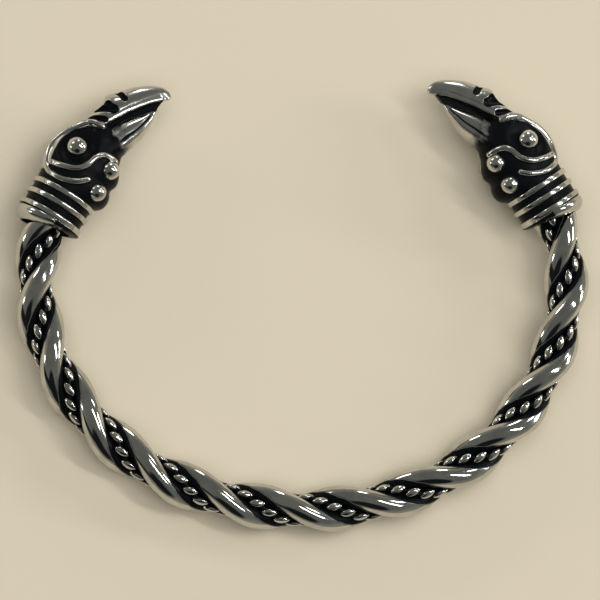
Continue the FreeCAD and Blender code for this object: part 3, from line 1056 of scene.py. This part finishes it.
# The whole head
def head_parts(u, w, z):
    """Distances from the whole head, and from the parts of it that decide its polish, by name."""
    skull = skull_distance(u, w, z) + eye_bowl(u, w, z)
    neck = neck_distance(u, w, z)
    part = {
        "ground": np.minimum(joined_softly(skull, neck, NECK_FILLET), web_distance(u, w, z)),
        "upper": upper_mandible(u, w, z),
        "lower": lower_mandible(u, w, z),
        "balls": ball_distance(u, w, z),
        "hollows": hollow_distance(u, w, z),
        "bore": bore_distance(u, w, z),
    }
    body = joined_softly(part["ground"], np.minimum(part["upper"], part["lower"]), BEAK_FILLET)
    body = joined_softly(body, band_distance(u, w, z), BAND_FILLET)
    body = joined_softly(body, mouth_distance(u, w, z), BAND_FILLET)
    body = joined_softly(body, part["balls"], BALL_FILLET)
    near = body < WIRE_NEAR_BODY
    part["wires"] = np.full(u.shape, FAR_AWAY)
    part["wires"][near] = wire_distance(u[near], w[near], z[near])
    body = joined_softly(body, part["wires"], WIRE_FILLET)
    body = cut_softly(body, part["hollows"], HOLLOW_FILLET)
    part["whole"] = np.maximum(body, -part["bore"])
    return part


def head_distance(u, w, z):
    return head_parts(u, w, np.abs(z))["whole"]


def lower_wear(u, w, z):
    """Polish of the lower mandible: worn unevenly near its root, darker along its cutting edge and groove."""
    v, h = own_frame(LOWER_ROOT, LOWER_SLOPE, u, w)
    top, ridge, _ = lower_edges(v)
    first, second = (np.sin(a * u + b * w + c * z + shift) for a, b, c, shift in WEAR_WAVES)
    worn = LOWER_WORN_POLISH + LOWER_UNEVEN_POLISH * first * second
    along = rise(v, *LOWER_POLISH_V) * (worn + (1.0 - worn) * rise(v, *LOWER_FULL_POLISH_V))
    upward = LOWER_EDGE_POLISH + (1.0 - LOWER_EDGE_POLISH) * rise(top - h, 0.0, LOWER_EDGE_DEPTH)
    return along * upward * (1.0 - ridge_groove(v, h - ridge))


def mouth_black(u, w):
    """Share of black on the socket's mouth: a seam on its outer side, and its inner side but for the rim."""
    seam = hump(u, -BAND_HALF_WIDTH - SEAM_BEFORE_BAND, SEAM_WIDTH) * rise(w, *SEAM_W)
    face, _ = from_mouth(u, w)
    behind_rim = np.maximum(rise(face, *MOUTH_BRIGHT_RIM), rise(-w, *MOUTH_RIM_END_INWARDS))
    before_band = rise(-u - BAND_HALF_WIDTH, *MOUTH_BLACK_BEFORE_BAND)
    inner = before_band * rise(-w, *MOUTH_BLACK_INWARDS) * behind_rim
    return 1.0 - (1.0 - seam) * (1.0 - inner)


def head_polish(u, w, z):
    """How polished the head's metal is at its places, from zero where it is black to one."""
    z = np.abs(z)
    part = head_parts(u, w, z)
    polish = rise(part["ground"], *POLISH_OVER_GROUND)
    others = nearest_of([part["balls"], part["wires"], part["upper"]])
    on_lower = fall(part["lower"], *LOWER_SURFACE) * rise(others, *LOWER_CLEAR_OF_OTHERS)
    polish = polish + on_lower * (lower_wear(u, w, z) - polish)
    v, h = own_frame(UPPER_ROOT, UPPER_SLOPE, u, w)
    on_root = fall(part["upper"], *ROOT_SURFACE) * fall(v, *ROOT_V)
    polish = polish * (1.0 - on_root * rise(part["wires"], *ROOT_CLEAR_OF_WIRES))
    crown = rise(w - between(SKULL_SECTIONS, 1, u), *POLISH_ON_CROWN) * rise(u, *POLISH_ON_CROWN_U)
    open_metal = rise(part["hollows"], *BLACK_ROUND_HOLLOW) * rise(part["bore"], *BLACK_IN_BORE)
    lip = lip_groove(v, h - between(UPPER_MANDIBLE, 2, v))
    return np.maximum(polish, crown) * open_metal * (1.0 - BLACK_ON_LIP * lip) * (1.0 - mouth_black(u, w))


# The head's skin
def cell_corners(shape):
    """Each corner of a grid's cells: its offset, and the window of the grid that holds it for every cell."""
    offsets = [(i, j, k) for i in (0, 1) for j in (0, 1) for k in (0, 1)]
    return [(offset, tuple(slice(c, n - 1 + c) for c, n in zip(offset, shape))) for offset in offsets]


def mean_crossings(field, active, corners):
    """For each active cell, the mean place in it where its edges cross the surface."""
    values = [(np.array(offset), field[window][active]) for offset, window in corners]
    total = np.zeros((len(values[0][1]), 3))
    crossings = np.zeros(len(total))
    for a, (first, start) in enumerate(values):
        for last, end in values[a + 1:]:
            if np.abs(last - first).sum() == 1:
                crossed = (start < 0.0) != (end < 0.0)
                share = start[crossed] / (start[crossed] - end[crossed])
                total[crossed] += first + share[:, None] * (last - first)
                crossings[crossed] += 1.0
    return total / crossings[:, None]


def quads_round_crossings(inside, number):
    """A quad that joins the four cells round each grid edge that crosses the surface, facing outwards."""
    quads = []
    for axis in range(3):
        second, third = (axis + 1) % 3, (axis + 2) % 3
        ahead = [slice(None)] * 3
        behind = [slice(None)] * 3
        ahead[axis] = slice(1, None)
        behind[axis] = slice(0, -1)
        start, end = inside[tuple(behind)], inside[tuple(ahead)]
        for leaving in (True, False):
            edges = np.argwhere(start & ~end if leaving else ~start & end)
            ring = []
            for back_second, back_third in ((1, 1), (0, 1), (0, 0), (1, 0)):
                cell = edges.copy()
                cell[:, second] -= back_second
                cell[:, third] -= back_third
                ring.append(number[cell[:, 0], cell[:, 1], cell[:, 2]])
            quads.append(np.stack(ring if leaving else ring[::-1], axis=1))
    return np.concatenate(quads)


def skin(field, low, step):
    """Closed skin of quads where a field on a regular grid changes sign, in the field's frame."""
    inside = field < 0.0
    corners = cell_corners(field.shape)
    count = sum(inside[window].astype(np.int8) for _, window in corners)
    active = (count > 0) & (count < 8)
    cells = np.argwhere(active)
    number = np.full(active.shape, -1)
    number[active] = np.arange(len(cells))
    places = low + step * (cells + mean_crossings(field, active, corners))
    return places, quads_round_crossings(inside, number)


def onto_surface(places):
    """Moves places near the head's surface onto it, each along the slope of its distance."""
    for _ in range(SKIN_ROUNDS):
        u, w, z = places.T
        here = head_distance(u, w, z)
        slope = np.stack([
            head_distance(u + SLOPE_REACH, w, z) - here,
            head_distance(u, w + SLOPE_REACH, z) - here,
            head_distance(u, w, z + SLOPE_REACH) - here,
        ], axis=1) / SLOPE_REACH
        step = -here[:, None] * slope / np.maximum((slope ** 2).sum(axis=1), SLOPE_LEAST)[:, None]
        places = places + np.clip(step, -0.5 * HEAD_GRID, 0.5 * HEAD_GRID)
    return places


def head_shape():
    """Places, quads and polish of one raven head, in its own frame; its two halves mirror each other."""
    cells_up = np.ceil(HEAD_HALF_BREADTH / HEAD_GRID)
    along = np.arange(HEAD_LOW[0], HEAD_HIGH[0] + HEAD_GRID, HEAD_GRID)
    upward = np.arange(HEAD_LOW[1], HEAD_HIGH[1] + HEAD_GRID, HEAD_GRID)
    across = np.arange(0, cells_up + 1) * HEAD_GRID
    half = head_distance(*np.meshgrid(along, upward, across, indexing="ij"))
    field = np.concatenate([half[:, :, :0:-1], half], axis=2)
    places, quads = skin(field, np.array([*HEAD_LOW, -cells_up * HEAD_GRID]), HEAD_GRID)
    places = onto_surface(places)
    return places, quads, head_polish(*places.T)


def raven_head(name, shape, matrix, material):
    places, quads, polish = shape
    mesh = bpy.data.meshes.new(name)
    mesh.from_pydata(places.tolist(), [], quads.tolist())
    layer = mesh.attributes.new("polish", "FLOAT", "POINT")
    layer.data.foreach_set("value", polish.astype(np.float32))
    mesh.transform(laid_down() @ matrix)
    mesh.shade_smooth()
    mesh.materials.append(material)
    return add_to_scene(name, mesh)


# The ring
def stand_for(piece, cad_node):
    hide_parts(cad_node)
    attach(piece, "root")


def add_rods():
    finish = patinated_steel("polished_rod", "from_axis", ROD_POLISH, ROD_ROUGHNESS)
    line = centre_line(ROD_END_IN_SOCKET)
    for number, lead in ((1, 0.5 * math.pi), (2, 1.5 * math.pi)):
        rod = plain_rod(f"plain_rod_{number}", line, lead, finish)
        stand_for(rod, f"plain_strand_{number}")
    bpy.data.objects.remove(line)


def add_wires():
    finish = patinated_steel("beaded_wire", "proud", WIRE_POLISH, WIRE_ROUGHNESS)
    line = centre_line(WIRE_END_IN_SOCKET)
    for number, lead in ((1, 0.0), (2, math.pi)):
        wire = beaded_wire(f"beaded_wire_{number}", line, lead, finish)
        stand_for(wire, f"beaded_strand_{number}")
    bpy.data.objects.remove(line)


def add_heads():
    finish = patinated_steel("cast_head", "polish", HEAD_POLISH, HEAD_ROUGHNESS)
    shape = head_shape()
    for side_name, station, side in (("left", 0.0, 1), ("right", HOOP_LENGTH, -1)):
        head = raven_head(f"cast_head_{side_name}", shape, head_matrix(station, side), finish)
        stand_for(head, f"raven_head_{side_name}")


add_floor()
set_tones()
add_lamps(add_camera())
add_room()
add_rods()
add_wires()
add_heads()
